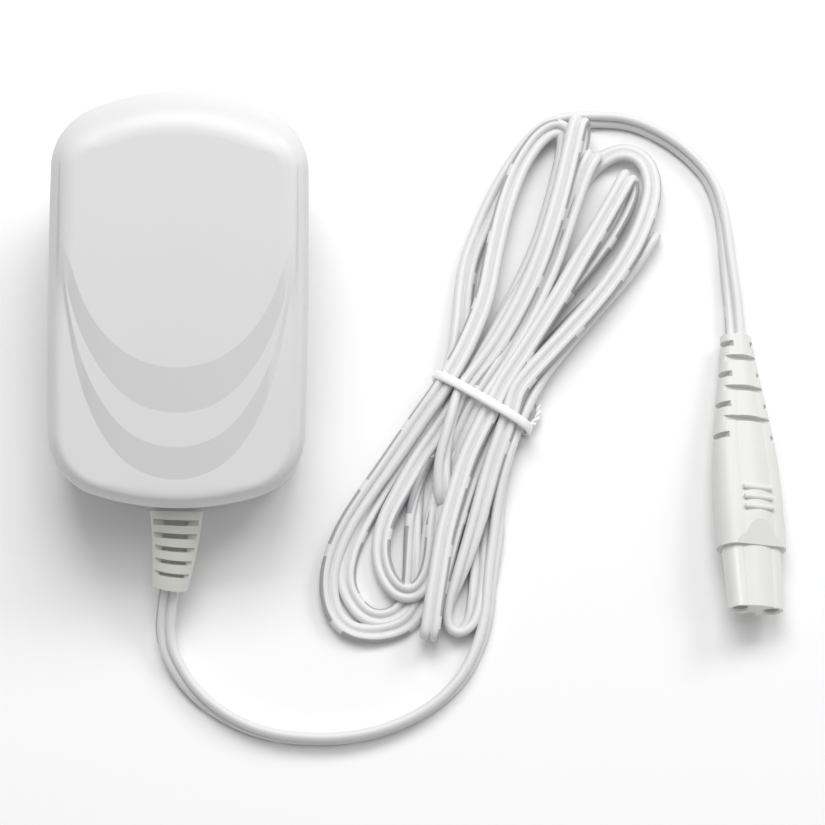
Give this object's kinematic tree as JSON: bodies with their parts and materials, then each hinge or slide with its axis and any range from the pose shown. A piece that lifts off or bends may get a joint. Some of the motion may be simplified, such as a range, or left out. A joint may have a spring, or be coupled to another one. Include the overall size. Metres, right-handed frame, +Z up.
{
  "type": "power adapter",
  "caption": "Wall-plug power adapter: stepped round-cornered housing, fixed flat blades, slotted strain relief, tied flat twin cord and two-hole connector.",
  "frame": {"origin": "middle of the adapter's footprint on the table: centre of the box round the housing, blades and strain relief, without the cord, at the table's height", "axes": "+X to the right across the housing, +Y along the housing towards its blade end, +Z up from the table; the housing lies face up, tipped 15 degrees by its blades"},
  "size_m": [0.1413, 0.1277, 0.0441],
  "materials": {
    "housing": "fine satin texture",
    "relief": "soft satin",
    "grip": "soft satin",
    "nose": "semi-gloss",
    "cord_jacket": "smooth satin",
    "tie": "gloss",
    "blade_metal": "nickel plated",
    "contact_metal": "tinned",
    "board": "solder-masked laminate",
    "fibre": "fibre sheet",
    "ferrite": "ground ferrite",
    "former": "moulded phenolic",
    "coil_tape": "polyester tape",
    "can_sleeve": "shrink sleeve",
    "package": "moulded epoxy",
    "resistor_coat": "lacquer",
    "disc_coat": "dipped epoxy",
    "film_case": "epoxy-filled case",
    "wire_red": "insulation",
    "wire_white": "insulation"
  },
  "bodies": {
    "root": {"front_shell": "housing", "rear_shell": "housing", "strain_relief": "relief", "blade_left": "blade_metal", "blade_right": "blade_metal", "mains_lead_left": "wire_white", "mains_lead_right": "wire_white", "circuit_board": "board", "insulation_sheet": "fibre", "input_capacitor_1": "can_sleeve", "input_capacitor_2": "can_sleeve", "output_capacitor": "can_sleeve", "input_choke": "ferrite", "fusible_resistor": "resistor_coat", "bridge_rectifier": "package", "controller_ic": "package", "optocoupler": "package", "output_diode": "package", "y_capacitor": "disc_coat", "snubber_capacitor": "film_case", "transformer_core_upper": "ferrite", "transformer_core_lower": "ferrite", "transformer_bobbin": "former", "transformer_winding": "coil_tape", "core_tape": "coil_tape", "output_lead_positive": "wire_red", "output_lead_negative": "wire_white", "cord_lead": "cord_jacket", "cord_hank": "cord_jacket", "cord_tail": "cord_jacket", "twist_tie": "tie", "connector_body": "grip", "connector_nose": "nose", "contact_sleeve_left": "contact_metal", "contact_sleeve_right": "contact_metal"}
  },
  "joints": []
}
